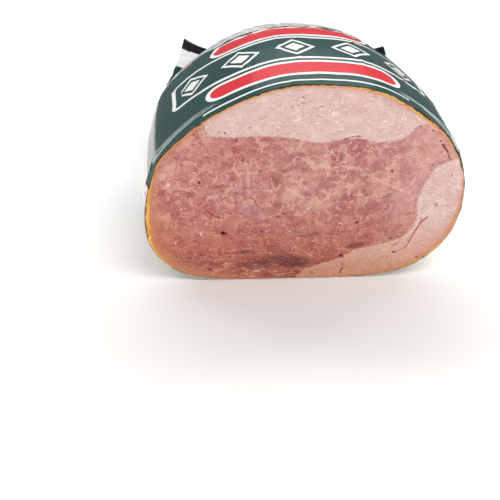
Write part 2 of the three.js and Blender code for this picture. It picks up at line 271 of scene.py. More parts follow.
def seam_distance(x, z):
    """Distance to the pale muscles' seams, positive inside the pale meat."""
    top, top_side, _ = line_distance(x, z, spline(TOP_SEAM, 6))
    low, low_side, _ = line_distance(x, z, spline(SIDE_SEAM, 6))
    return np.maximum(top * top_side, low * low_side)


def cut_relief(x, z):
    """Height of the cut's surface over its mean level, x and height above the loaf's underside."""
    pale = seam_distance(x, z)
    rim = line_distance(x, z, OUTLINE, closed=True)[0]
    paleness = smoothstep(pale, -0.6, 0.6)
    # Lumps, crumbs and grit in the coarse meat, and a long swell with fibres in the pale meat
    coarse = (0.14 * uneven(x, z, 17, 13, 3.1) + 0.10 * uneven(x, z, 5.5, 4.5, 7.7, 2)
              + 0.07 * uneven(x, z, 1.9, 1.6, 12.3))
    smooth = (0.12 * uneven(x, z, 26, 15, 21.4) + 0.05 * uneven(x, z, 9, 1.7, 31.9, 2))
    relief = coarse * (1 - paleness) + (smooth + 0.05) * paleness
    # A groove that comes and goes along the seams, and meat that falls away at the rim
    relief -= 0.20 * np.exp(-(pale / 0.55) ** 2) * smoothstep(uneven(x, z, 9, 9, 41.2), -0.35, 0.4)
    relief -= 0.30 * np.exp(-rim / 0.6)
    for lines, depth in ((VEINS, 0.12), (CRACKS, 0.30), (FAT_LINES, -0.05)):
        relief -= depth * (1 - smoothstep(line_field(x, z, lines), -0.1, 0.45))
    # A pore is half an ellipsoid, a little larger than listed
    for middle_x, middle_z, half_width, half_height, turn, depth in PORES:
        c, s = cos(radians(turn)), sin(radians(turn))
        across = ((x - middle_x) * c + (z - middle_z) * s) / (1.12 * half_width + 0.05)
        along = ((z - middle_z) * c - (x - middle_x) * s) / (1.12 * half_height + 0.05)
        radius = across ** 2 + along ** 2
        relief -= np.where(radius < 1, 1.1 * depth * np.sqrt(np.clip(1 - radius, 0, 1)), 0)
    return np.minimum(relief, RELIEF_DEPTH - 0.02)


def object_of(bm, name):
    mesh = bpy.data.meshes.new(name)
    bm.to_mesh(mesh)
    bm.free()
    made = bpy.data.objects.new(name, mesh)
    bpy.context.scene.collection.objects.link(made)
    return made


def draw_out(bm, y):
    """Close an open mesh by drawing its border along to y and filling it there."""
    drawn = bmesh.ops.extrude_edge_only(bm, edges=[e for e in bm.edges if e.is_boundary])["geom"]
    for part in drawn:
        if isinstance(part, bmesh.types.BMVert):
            part.co.y = y
    bmesh.ops.edgeloop_fill(bm, edges=[e for e in bm.edges if e.is_boundary])
    bmesh.ops.recalc_face_normals(bm, faces=bm.faces)


def relief_slab():
    """A block whose front is the cut's uneven surface."""
    bm = bmesh.new()
    columns = round((SLAB_RIGHT - SLAB_LEFT) / CELL)
    rows = round((SLAB_HIGH - SLAB_LOW) / CELL)
    bmesh.ops.create_grid(bm, x_segments=columns, y_segments=rows, size=1)
    flat = np.array([v.co[:2] for v in bm.verts])
    x = SLAB_LEFT + (flat[:, 0] + 1) / 2 * (SLAB_RIGHT - SLAB_LEFT)
    z = SLAB_LOW + (flat[:, 1] + 1) / 2 * (SLAB_HIGH - SLAB_LOW)
    y = FRONT + RELIEF_DEPTH - cut_relief(x, z - LIFT)
    for vertex, place in zip(bm.verts, zip(x, y, z)):
        vertex.co = place
    draw_out(bm, SLAB_BACK)
    return object_of(bm, "relief_slab")


def muscle_blank(node):
    """The CAD piece in millimetres, grown almost to its neighbours, its front drawn out whole."""
    bm = bmesh.new()
    bm.from_mesh(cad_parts[node].data)
    bmesh.ops.scale(bm, vec=(1 / MM,) * 3, verts=bm.verts)
    bmesh.ops.remove_doubles(bm, verts=bm.verts, dist=0.002)
    bm.normal_update()
    for vertex, normal in [(v, v.normal.copy()) for v in bm.verts]:
        vertex.co += GROWTH * normal
    bmesh.ops.bisect_plane(bm, geom=bm.verts[:] + bm.edges[:] + bm.faces[:], dist=1e-4,
                           plane_co=(0, FRONT + BEHIND_PORES, 0), plane_no=(0, -1, 0), clear_outer=True)
    before_cut = FRONT - 2
    draw_out(bm, before_cut)
    return object_of(bm, node + "_blank")


def write_attribute(mesh, name, kind, columns):
    layer = mesh.attributes.new(name, kind, "POINT")
    values = np.stack(columns, axis=1).astype(np.float32).ravel()
    layer.data.foreach_set("color" if kind == "FLOAT_COLOR" else "vector", values)


def cut_muscle(node, name, material, slab):
    """A muscle of the loaf, its front cut to the slab's relief, with the fields its looks read."""
    blank = muscle_blank(node)
    cut = blank.modifiers.new("cut", "BOOLEAN")
    cut.operation, cut.solver, cut.object = "INTERSECT", "MANIFOLD", slab
    ready = blank.evaluated_get(bpy.context.evaluated_depsgraph_get())
    bm = bmesh.new()
    bm.from_mesh(ready.to_mesh())
    ready.to_mesh_clear()
    bpy.data.objects.remove(blank)
    bmesh.ops.remove_doubles(bm, verts=bm.verts, dist=0.004)
    for face in bm.faces:
        face.smooth = True
    for edge in bm.edges:
        edge.smooth = edge.is_manifold and edge.calc_face_angle(0) < SMOOTH_BELOW
    place = np.array([v.co[:] for v in bm.verts])
    bmesh.ops.scale(bm, vec=(MM,) * 3, verts=bm.verts)
    piece = object_of(bm, name)

    x, z = place[:, 0], place[:, 2] - LIFT
    on_face = place[:, 1] < FRONT + FACE_DEPTH
    distance, _, nearest = line_distance(x, z, OUTLINE, closed=True)
    width, amber = (np.interp(nearest / SPLINE_STEPS, np.arange(len(values) + 1), values + values[:1])
                    for values in (RIND_WIDTH, RIND_AMBER))
    dark_spots = [(*pore[:5], 1.0) for pore in PORES] + [(*pit, 0, 0.8) for pit in PITS]
    write_attribute(piece.data, "rim", "FLOAT_VECTOR", [np.where(on_face, distance, 0), width, amber])
    write_attribute(piece.data, "lines", "FLOAT_VECTOR",
                    [line_field(x, z, group) for group in (VEINS, FAT_LINES, CRACKS)])
    seam = seam_distance(x, z) * (0.25 + 0.75 * smoothstep(x, -62, -44))     # softer at its left end
    write_attribute(piece.data, "muscle", "FLOAT_VECTOR", [
        seam, patch_field(x, z, dark_spots), patch_field(x, z, [(*fleck, 0, 1.0) for fleck in FLECKS])])
    write_attribute(piece.data, "patches", "FLOAT_COLOR",
                    [patch_field(x, z, group) for group in (ROSE, SHADE_PATCHES, CREAM, LILAC)])
    piece.data.materials.append(material)
    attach(piece, "root")
    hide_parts(node)
    return piece


# Film

def fall(t, power):
    """Size of the loaf's section at a share t of its length."""
    return (1 - np.clip(t, 0, 1) ** power) ** (1 / power)


def drift(distance):
    """How far the loaf's middle has moved across."""
    return BACK_DRIFT * min(max(distance / LOAF_LENGTH, 0), 1) ** 2


def skin_section(distance, grow):
    """The loaf's section at a distance from the cut, grown outwards."""
    x, z = OUTLINE.T
    t = distance / (LOAF_LENGTH + grow)
    width = fall(t, SIDE_POWER)
    height = fall(t, np.where(z > AXIS_HEIGHT, TOP_POWER, BOTTOM_POWER))
    out = grow * np.minimum(1, 3 * width)
    level = np.maximum(0, AXIS_HEIGHT + (z - AXIS_HEIGHT) * height)
    return x * width + OUTLINE_OUT[:, 0] * out + drift(distance), LIFT + level + OUTLINE_OUT[:, 1] * out


def fold_ridge(distance):
    """How far the film stands up in the two folds behind the cut, round the section."""
    x, z = OUTLINE.T
    # Each fold fades in towards its own side and upwards, and slants back towards the top
    around = smoothstep(-x, 30, 62) * smoothstep(z, 40, 62)
    upward = smoothstep(z, 50, 100)
    place, width = FOLD_AT + FOLD_SLANT * upward, FOLD_WIDTH * (1.3 - 0.6 * upward)
    left = FOLD_HEIGHT * around * np.exp(-((distance - place) / width) ** 2)
    around = smoothstep(x, 40, 60) * smoothstep(z, 60, 80)
    place = RIGHT_FOLD_AT + RIGHT_FOLD_SLANT * smoothstep(z, 70, 115)
    return left + RIGHT_FOLD_HEIGHT * around * np.exp(-((distance - place) / RIGHT_FOLD_WIDTH) ** 2)


def section_height(section, x, upper):
    """Height of a closed section's upper or lower line at each x."""
    sx, sz = section
    next_x, next_z = np.roll(sx, -1), np.roll(sz, -1)
    crossing = (sx[None] <= x[:, None]) != (next_x[None] <= x[:, None])
    run = np.where(next_x == sx, 1.0, next_x - sx)
    height = sz + (next_z - sz) * (x[:, None] - sx) / run
    end = np.where(x <= sx.min(), sz[sx.argmin()], sz[sx.argmax()])
    if upper:
        found = np.where(crossing, height, -np.inf).max(1)
    else:
        found = np.where(crossing, height, np.inf).min(1)
    return np.where(np.isfinite(found), found, end)


def wedge_at(distance):
    """The bag beyond the loaf: a wedge of two plies that closes to the sealed flap."""
    def share_from(start):
        return min(max((distance - start) / (BAG_LENGTH - start), 0), 1)
    rise = share_from(FLAP_RISE_START) ** FLAP_RISE_POWER
    opening = WEDGE_HEIGHT * max(0, SEAL_START - distance) / (SEAL_START - LOAF_LENGTH)
    pleated = smoothstep(distance, LOAF_LENGTH - 4, SEAL_START - 4)
    pressed = smoothstep(distance, SEAL_START, BAG_LENGTH)
    shift = smoothstep(distance, WEDGE_START + 20, BAG_LENGTH)
    return {
        "x": drift(distance) * (1 - shift) + FLAP_SHIFT * shift,
        "z": LIFT + AXIS_HEIGHT + FLAP_END_RISE * rise,
        "half_width": (FLAP_WIDTH + (FLAP_END_WIDTH - FLAP_WIDTH) * share_from(FLAP_TAPER_START)) / 2,
        "rise": rise,
        "open": min(opening, WEDGE_MOST),
        "droop": SIDE_DROOP * sin(pi * share_from(DROOP_START)),
        "pleat": PLEAT_HEIGHT * pleated * (1 + (FLAP_PLEAT_SHARE - 1) * pressed),
    }


def wedge_height(wedge, x, ply_side):
    """Height of the wedge's upper (1), lower (-1) or middle (0) line at each x."""
    across = np.clip((x - wedge["x"]) / wedge["half_width"], -1, 1)
    inner = 1 - across ** 2
    ply = wedge["open"] * inner + FLAP_HALF_THICKNESS * inner ** 0.2
    curl = np.where(across < 0, LEFT_CURL, RIGHT_CURL) * wedge["rise"] * across ** 4
    pleat = wedge["pleat"] * inner * np.cos(2 * pi * PLEATS * across)
    return wedge["z"] + ply_side * ply + curl - wedge["droop"] * across ** 2 + pleat


def bag_ring(distance, flat=False):
    """Points round the bag from under its middle, and how far each is from the loaf's film."""
    tight = wedge = None
    if distance < LOAF_LENGTH + LIFT:
        tight = skin_section(distance, LIFT + fold_ridge(distance))
    if distance >= WEDGE_START:
        wedge = wedge_at(distance)
    sides = []
    if tight:
        sides += [tight[0].min(), tight[0].max()]
    if wedge:
        sides += [wedge["x"] - wedge["half_width"], wedge["x"] + wedge["half_width"]]
    left, right = min(sides), max(sides)
    turn = -pi / 2 + 2 * pi * np.arange(FILM_SIDES + 1) / FILM_SIDES
    inset = 1e-6                # keeps the side points inside the section
    x = (left + right) / 2 + ((right - left) / 2 - inset) * np.cos(turn)
    upper = np.sin(turn) >= 0
    z, slack = np.empty(len(x)), np.full(len(x), FREE)
    for up, sign in ((True, 1), (False, -1)):
        here = upper == up
        height = np.full(here.sum(), -np.inf)
        if wedge:
            inside = np.abs(x[here] - wedge["x"]) <= wedge["half_width"]
            height[inside] = sign * wedge_height(wedge, x[here], 0 if flat else sign)[inside]
        if tight:
            inside = (x[here] >= tight[0].min()) & (x[here] <= tight[0].max())
            loaf = np.where(inside, sign * section_height(tight, x[here], up), -np.inf)
            slack[here] = np.where(inside, np.maximum(height - loaf, 0), FREE)
            height = np.maximum(height, loaf)
        z[here] = sign * height
    return np.stack([x, np.full(len(x), FRONT + distance), z], axis=1), slack


def film_distances():
    """Ring places, close together at the cut, the loaf's tip and the flap."""
    spans = [(FILM_EDGE, EDGE_REACH, 1.0), (EDGE_REACH, WEDGE_START, 2.4), (WEDGE_START, 158, 1.6),
             (158, 172, 0.7), (172, BAG_LENGTH, 1.0)]
    places = [FILM_EDGE]
    for start, end, step in spans:
        count = round((end - start) / step)
        places += [start + (end - start) * k / count for k in range(1, count + 1)]
    return places


def around_bag(x, z):
    """About how far round the bag a point is, in millimetres."""
    mean_radius = 75
    return mean_radius * atan2(x, z - AXIS_HEIGHT)


def creases(place, size, seed):
    """Noise that is 0 along creases, about as far apart each way as the size."""
    x, y, z = (part / width for part, width in zip(place, size))
    return abs(noise.noise(Vector((x, y, z + seed))))


def film_dent(x, y, z, free):
    """How far in the film goes at a place, under 0 where it stands out."""
    distance = y - FRONT
    place, unrolled = (x, y, z), (around_bag(x, z), distance, 0)
    # Broad waves and fine creases, folds where it is slack behind, and drawn in at the cut
    broad = 0.5 + 0.5 * noise.fractal(Vector((x / 26, y / 34, z / 22 + 5)), 1.0, 2.0, 2)
    dent = 0.26 * broad
    dent += (0.10 + 0.20 * float(smoothstep(distance, 90, 150))) * creases(place, (6, 26, 6), 9)
    folds = 1 - creases(place, (9, 45, 30), 2)
    behind = float(smoothstep(distance, 100, 140)) * float(1 - smoothstep(distance, 176, 190))
    dent += 0.16 * free * (1 - folds ** 3) * behind
    dent += EDGE_PULL * (1 - float(smoothstep(distance, 2, 9)))
    dent = min(dent, SLACK_ON_LOAF + free)

    # Narrow tension folds along the bag and crumples over the loaf's back stand out
    tension = 1 - creases(unrolled, (10, 70, 1), 3.3)
    tense = 0.5 + noise.noise(Vector((unrolled[0] / 30, distance / 45, 8.1)))
    dent -= TENSION_FOLD * tension ** 14 * float(smoothstep(tense, 0.4, 0.7))
    crumple = 0.5 - creases(place, (12, 8, 12), 4)
    crumple += 0.4 * (0.5 - creases((x, y, 0), (5, 4, 1), 7))
    crumpled = smoothstep(distance, 84, 108) * (1 - smoothstep(distance, 150, 180))
    return dent - CRUMPLE * crumple * float(crumpled)


def edge_wave(x, z, distance):
    """How far the film's wavy edge steps back from the cut at a place."""
    wave = 0.5 + 0.5 * noise.fractal(Vector((x / 14, 3, z / 14)), 1.0, 2.0, 2)
    upper_right = 1.3 * float(smoothstep(x, 35, 55) * smoothstep(z, 75, 92))
    return (0.7 * wave + upper_right) * float(1 - smoothstep(distance, FILM_EDGE, EDGE_REACH))


def film_bag(material):
    """The bag as one sheet on the loaf, with slack folds behind it and a map of its print."""
    places = film_distances()
    rings = [bag_ring(d) for d in places] + [bag_ring(BAG_LENGTH, flat=True)]
    points = np.array([ring[0] for ring in rings])
    slack = np.array([ring[1] for ring in rings])
    steps = np.linalg.norm(np.diff(points, axis=1), axis=2)
    around = np.concatenate([np.zeros((len(rings), 1)), np.cumsum(steps, axis=1)], axis=1)
    around = around[:, FILM_SIDES // 2, None] - around
    around *= GIRTH / (around[:, :1] - around[:, -1:])

    bm = bmesh.new()
    bmesh.ops.create_grid(bm, x_segments=FILM_SIDES, y_segments=len(rings) - 1, size=1)
    sheet = bm.loops.layers.uv.new("print")
    cell = {}
    for vertex in bm.verts:
        column = round((vertex.co.x + 1) / 2 * FILM_SIDES)
        row = round((vertex.co.y + 1) / 2 * (len(rings) - 1))
        cell[vertex] = (column, row)
        vertex.co = points[row, column]
    for face in bm.faces:
        face.smooth = True
        for loop in face.loops:
            column, row = cell[loop.vert]
            loop[sheet].uv = (around[row, column], places[min(row, len(places) - 1)])
    # The slack is kept by place, because the merge below removes vertices
    loose = {tuple(round(c, 3) for c in v.co): slack[cell[v][1], cell[v][0]] for v in bm.verts}
    bmesh.ops.remove_doubles(bm, verts=bm.verts, dist=0.001)
    bmesh.ops.recalc_face_normals(bm, faces=bm.faces)
    bm.normal_update()

    moves = []
    for vertex in bm.verts:
        x, y, z = vertex.co
        distance = y - FRONT
        free = min(loose.get(tuple(round(c, 3) for c in vertex.co), 0), MOST_FREE)
        dent = film_dent(x, y, z, free)
        if vertex.normal.z < -0.8:      # the underside lies almost flat
            dent *= 0.15
        moves.append((vertex, -float(min(dent, MOST_DENT)) * vertex.normal))
        if distance < EDGE_REACH:
            moves.append((vertex, Vector((0, edge_wave(x, z, distance), 0))))
    for vertex, move in moves:
        vertex.co += move
    for vertex in bm.verts:
        vertex.co.z = max(vertex.co.z, FLOOR_GAP)
    bmesh.ops.scale(bm, vec=(MM,) * 3, verts=bm.verts)
    piece = object_of(bm, "printed_film_bag")
    wall = piece.modifiers.new("film_thickness", "SOLIDIFY")
    wall.thickness, wall.offset, wall.use_rim = FILM_THICKNESS * MM, -1, True
    piece.data.materials.append(material)
    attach(piece, "root")
    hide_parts("film_bag")
    return piece


# Materials

def colour(hex_code):
    """An sRGB hex colour in Blender's linear values."""
    parts = [int(hex_code[k:k + 2], 16) / 255 for k in (1, 3, 5)]
    return tuple(p / 12.92 if p <= 0.04045 else ((p + 0.055) / 1.055) ** 2.4 for p in parts) + (1.0,)


def add(tree, kind, settings, inputs):
    """Add a node, with its settings, and its inputs as links or values."""
    made = tree.nodes.new(kind)
    for name, value in settings.items():
        setattr(made, name, value)
    for key, value in inputs.items():
        if isinstance(value, bpy.types.NodeSocket):
            tree.links.new(value, made.inputs[key])
        else:
            made.inputs[key].default_value = value
    return made


def new_material(name):
    material = bpy.data.materials.new(name)
    material.use_nodes = True
    return material, material.node_tree, material.node_tree.nodes["Principled BSDF"]


def lay_over(tree, base, layers, blend="MIX"):
    """Lay colours over a base, each where its field passes from low to high."""
    for hex_code, field, low, high, strength in layers:
        mask = add(tree, "ShaderNodeMapRange", {"interpolation_type": "SMOOTHSTEP"},
                   {"Value": field, "From Min": low, "From Max": high, "To Max": strength})
        base = add(tree, "ShaderNodeMix", {"data_type": "RGBA", "blend_type": blend},
                   {0: mask.outputs[0], 6: base, 7: colour(hex_code)}).outputs[2]
    return base


def cooked_ham(name):
    """Cooked pork, salt-cured and pressed, under the knife: soft moist sheen, rosy chunks in paler paste,
    and a browned rind; painted shade darkens it towards the underside and in its pores and cracks, and
    painted highlights glint on the rind."""
    material, tree, shader = new_material(name)
    place = add(tree, "ShaderNodeTexCoord", {}, {}).outputs["Object"]
    mm = add(tree, "ShaderNodeMapping", {}, {"Vector": place, "Scale": (1 / MM,) * 3}).outputs[0]

    def noisy(size, detail=2.0, where=mm, rough=0.5, distortion=0.0):
        return add(tree, "ShaderNodeTexNoise", {}, {
            "Vector": where, "Scale": 1 / size, "Detail": detail, "Roughness": rough,
            "Distortion": distortion})

    def roughened(field, amount, by):
        """A field with its edge made uneven by a noise."""
        centred = add(tree, "ShaderNodeMath", {"operation": "SUBTRACT"}, {0: by, 1: 0.5}).outputs[0]
        return add(tree, "ShaderNodeMath", {"operation": "MULTIPLY_ADD"},
                   {0: centred, 1: amount, 2: field}).outputs[0]

    def specks(size, spread, where):
        """Small near some scattered points, and near fewer of them with more spread."""
        cells = add(tree, "ShaderNodeTexVoronoi", {}, {"Vector": where, "Scale": 1 / size})
        return add(tree, "ShaderNodeMath", {"operation": "MULTIPLY_ADD"},
                   {0: cells.outputs["Color"], 1: spread, 2: cells.outputs["Distance"]}).outputs[0]

    def bent(size, by, where=mm):
        """The place moved about by a noise, in millimetres."""
        return add(tree, "ShaderNodeVectorMath", {"operation": "MULTIPLY_ADD"},
                   {0: noisy(size, 2).outputs["Color"], 1: (by, by, by), 2: where}).outputs[0]

    def strands(size, where):
        """Small along the level lines of a noise, which wander and close on themselves."""
        away = add(tree, "ShaderNodeMath", {"operation": "SUBTRACT"},
                   {0: noisy(size, 1, where).outputs["Fac"], 1: 0.5}).outputs[0]
        return add(tree, "ShaderNodeMath", {"operation": "ABSOLUTE"}, {0: away}).outputs[0]

    bend = bent(7, 6)
    broad = noisy(24, 2).outputs["Fac"]
    mottle = noisy(9, 5, rough=0.62, distortion=0.5).outputs["Fac"]
    middling = noisy(4, 3, rough=0.6).outputs["Fac"]
    crumb = noisy(1.3, 3, rough=0.7, distortion=0.8).outputs["Fac"]
    grit = noisy(0.62, 1, rough=0.6).outputs["Fac"]
    ragged = bent(1.5, 1.1, bend)
    chunks = add(tree, "ShaderNodeTexVoronoi", {"feature": "SMOOTH_F1"},
                 {"Vector": ragged, "Scale": 1 / 7.5, "Smoothness": 0.12})
    chunk_tint = add(tree, "ShaderNodeSeparateColor", {}, {0: chunks.outputs["Color"]})
    chunk_edge = add(tree, "ShaderNodeTexVoronoi", {"feature": "DISTANCE_TO_EDGE"},
                     {"Vector": ragged, "Scale": 1 / 7.5}).outputs["Distance"]
    streak_place = add(tree, "ShaderNodeMapping", {}, {
        "Vector": bend, "Rotation": (0, radians(6), 0), "Scale": (1 / 16, 1 / 5, 1 / 2.6)}).outputs[0]
    streaks = noisy(1, 3, streak_place, 0.6).outputs["Fac"]
    axes = add(tree, "ShaderNodeSeparateXYZ", {}, {0: mm})
    across, height = axes.outputs["X"], axes.outputs["Z"]

    rim, lines, muscle = (add(tree, "ShaderNodeSeparateXYZ", {}, {
        0: add(tree, "ShaderNodeAttribute", {"attribute_name": field}, {}).outputs["Vector"]})
        for field in ("rim", "lines", "muscle"))
    patches = add(tree, "ShaderNodeAttribute", {"attribute_name": "patches"}, {})
    patch = add(tree, "ShaderNodeSeparateColor", {}, {0: patches.outputs["Color"]})

    def lower_down(field):
        """A field that keeps its lines near the loaf's underside and loses them higher up."""
        loss_per_mm = 0.0009
        return add(tree, "ShaderNodeMath", {"operation": "MULTIPLY_ADD"},
                   {0: height, 1: loss_per_mm, 2: field}).outputs[0]

    blobs = noisy(6, 1, ragged).outputs["Fac"]
    small_blobs = noisy(3, 1.5, ragged).outputs["Fac"]
    coarse = lay_over(tree, colour("#CD8A87"), [
        ("#D79D90", broad, 0.47, 0.34, 0.5),
        ("#BC736C", broad, 0.52, 0.66, 0.5),
        ("#D8A293", chunk_tint.outputs[1], 0.55, 0.7, 0.55),
        ("#C2878B", chunk_tint.outputs[2], 0.7, 0.8, 0.6),
        ("#BC706E", chunk_tint.outputs[0], 0.62, 0.74, 0.55),
        ("#B15F63", roughened(blobs, 0.15, mottle), 0.56, 0.62, 0.45),
        ("#D8A292", roughened(blobs, 0.15, mottle), 0.43, 0.37, 0.4),
        ("#B66A64", small_blobs, 0.56, 0.66, 0.32),
        ("#E0AC9D", small_blobs, 0.42, 0.32, 0.32),
        ("#B5696A", roughened(patch.outputs[0], 0.35, middling), 0.24, 0.42, 0.75),
        ("#A0485A", roughened(patch.outputs[0], 0.4, middling), 0.45, 1.0, 0.8),
        ("#C28B94", roughened(patches.outputs["Alpha"], 0.3, middling), 0.25, 0.45, 0.9),
        ("#DFAE9F", roughened(patch.outputs[2], 0.4, middling), 0.22, 0.6, 0.75),
        ("#E6B9A6", roughened(roughened(chunk_edge, 0.5, middling), 0.5, mottle), 0.07, -0.02, 0.65),
        ("#E8BCAD", roughened(strands(9, ragged), 0.14, mottle), 0.012, -0.008, 0.5),
        ("#E8BCAD", roughened(strands(4.5, ragged), 0.3, mottle), 0.006, -0.02, 0.3),
        ("#97504A", roughened(strands(13, bend), 0.16, crumb), 0.008, -0.012, 0.45),
    ])
    # Painted shade: the coarse meat is multiplied darker towards the loaf's underside and towards its left
    # side
    coarse = lay_over(tree, coarse, [
        ("#E5B8A0", roughened(height, 30, streaks), 60, 14, 0.95),
        ("#C98F80", roughened(height, 50, streaks), 22, -8, 0.7),
        ("#EFD6CC", roughened(height, 14, streaks), 10, 1, 0.9),
        ("#FFF1EE", roughened(across, 40, streaks), 0, -60, 1.0),
    ], "MULTIPLY")
    coarse = lay_over(tree, coarse, [
        ("#E2B0A8", roughened(across, 30, streaks), 35, 75, 0.5),
        ("#C08072", roughened(streaks, 0.5, broad), 0.42, 0.28, 0.55),
        ("#E0AA94", lower_down(roughened(strands(1, streak_place), 0.1, mottle)), 0.045, 0.005, 0.75),
        ("#8C4A42", lower_down(roughened(strands(1.4, streak_place), 0.1, broad)), 0.03, 0.0, 0.7),
        ("#E6BCAD", crumb, 0.56, 0.74, 0.5),
        ("#8A4039", crumb, 0.44, 0.27, 0.5),
        # Painted shade: the shade patches turn the coarse meat dark purple-brown near the bottom of the cut
        ("#8A4639", roughened(patch.outputs[1], 2.0, streaks), 0.15, 0.6, 0.85),
        ("#6C2832", roughened(patch.outputs[1], 2.0, streaks), 0.5, 1.1, 0.9),
        ("#F2D2C4", grit, 0.56, 0.78, 0.3),
        ("#7E3832", grit, 0.44, 0.22, 0.3),
        ("#F8DCCD", specks(2.8, 1.1, bend), 0.40, 0.30, 0.8),
        ("#F8DCCD", specks(1.5, 1.3, bend), 0.36, 0.28, 0.5),
        # Tiny dark pores: partly their own dark colour and partly painted shade in them
        ("#5E241E", specks(3.6, 1.2, bend), 0.34, 0.27, 0.75),
    ])
    grain_place = add(tree, "ShaderNodeMapping", {}, {
        "Vector": bend, "Rotation": (0, radians(-6), 0), "Scale": (1 / 10, 1 / 3, 1 / 0.9)}).outputs[0]
    grain = noisy(1, 3, grain_place, 0.65).outputs["Fac"]
    fibres = strands(1, grain_place)
    pale = lay_over(tree, colour("#E1BCB6"), [
        ("#DBB0A9", broad, 0.46, 0.64, 0.7),
        ("#EACFCA", mottle, 0.5, 0.62, 0.45),
        ("#D2A49A", middling, 0.54, 0.70, 0.35),
        ("#EED8D3", blobs, 0.54, 0.66, 0.4),
        ("#C99F96", grain, 0.56, 0.72, 0.5),
        ("#FCF0EA", roughened(fibres, 0.12, mottle), 0.022, -0.006, 0.95),
        ("#B47C70", roughened(strands(1.3, grain_place), 0.16, broad), 0.012, -0.010, 0.75),
        ("#F6E3D8", roughened(patch.outputs[2], 0.9, crumb), 0.25, 0.8, 0.9),
        # Painted shade: the pale meat turns darker and browner towards the loaf's underside
        ("#D59A80", height, 46, 4, 0.85),
        ("#C28058", roughened(height, 26, streaks), 24, -2, 0.75),
        ("#F4E2DB", crumb, 0.55, 0.74, 0.4),
        ("#BE8A7E", crumb, 0.45, 0.26, 0.4),
        ("#FAEBE4", grit, 0.55, 0.78, 0.45),
        ("#BC8578", grit, 0.45, 0.22, 0.45),
        ("#9C5A50", specks(6.0, 1.2, bend), 0.31, 0.25, 0.6),
    ])
    in_pale = add(tree, "ShaderNodeMapRange", {"interpolation_type": "SMOOTHSTEP"}, {
        "Value": roughened(roughened(muscle.outputs[0], 1.6, crumb), 3.0, middling),
        "From Min": -0.5, "From Max": 0.45}).outputs[0]
    meat = add(tree, "ShaderNodeMix", {"data_type": "RGBA"}, {0: in_pale, 6: coarse, 7: pale}).outputs[2]

    rind = roughened(roughened(rim.outputs[0], 1.2, crumb), 2.2, middling)
    share = add(tree, "ShaderNodeMath", {"operation": "DIVIDE"}, {0: rind, 1: rim.outputs[1]}).outputs[0]
    amber_share = add(tree, "ShaderNodeMath", {"operation": "SUBTRACT"}, {
        0: 1.0, 1: rim.outputs[2]}).outputs[0]
    amber_share = add(tree, "ShaderNodeMath", {"operation": "MULTIPLY_ADD"}, {
        0: amber_share, 1: 1.3, 2: share}).outputs[0]
    meat = lay_over(tree, meat, [
        ("#F4D9C6", roughened(lines.outputs[1], 1.8, crumb), 0.35, -0.3, 0.85),
        ("#A83A46", roughened(lines.outputs[0], 1.1, crumb), 0.4, -0.2, 0.85),
        # Cracks, pores and pits are dark red-brown, partly their own colour and partly painted shade in
        # their hollows
        ("#7C321C", roughened(lines.outputs[2], 1.3, crumb), 0.35, -0.2, 0.95),
        ("#A65A52", roughened(muscle.outputs[1], 0.5, crumb), 0.1, 0.4, 0.5),
        ("#74281F", roughened(muscle.outputs[1], 0.8, crumb), 0.35, 0.7, 0.88),
        ("#F3D3C5", roughened(muscle.outputs[2], 1.0, crumb), 0.35, 0.9, 0.8),
        ("#CE8560", amber_share, 6, 1.5, 0.32),
        ("#CB8768", share, 2.2, 0.8, 0.6),
        ("#DB8E48", amber_share, 1.7, 0.7, 0.7),
        ("#E8AE42", amber_share, 1.05, 0.5, 0.95),
        # Painted highlight: pale yellow glints in patches on the amber rind
        ("#FADF9C", roughened(amber_share, 2.6, middling), 0.7, 0.2, 0.6),
        ("#A8661A", roughened(amber_share, 3.4, mottle), 0.5, 0.1, 0.9),
        ("#6A4816", roughened(rim.outputs[0], 2.6, middling), 0.3, -0.1, 0.9),
    ])
    shader.inputs["Subsurface Weight"].default_value = 0.12
    shader.inputs["Subsurface Radius"].default_value = (1.0, 0.35, 0.25)
    shader.inputs["Subsurface Scale"].default_value = 0.0015
    shader.inputs["Roughness"].default_value = 0.42
    shader.inputs["IOR"].default_value = 1.42
    tree.links.new(meat, shader.inputs["Base Color"])
    bumps = add(tree, "ShaderNodeMix", {"data_type": "FLOAT"}, {0: in_pale, 2: crumb, 3: grain}).outputs[0]
    bump = add(tree, "ShaderNodeBump", {}, {"Height": bumps, "Strength": 0.7, "Distance": 0.0004})
    tree.links.new(bump.outputs[0], shader.inputs["Normal"])
    return material


PANEL_LEFT, PANEL_RIGHT = 116.4, 116.5      # round the bag from its top to the print's lower edges


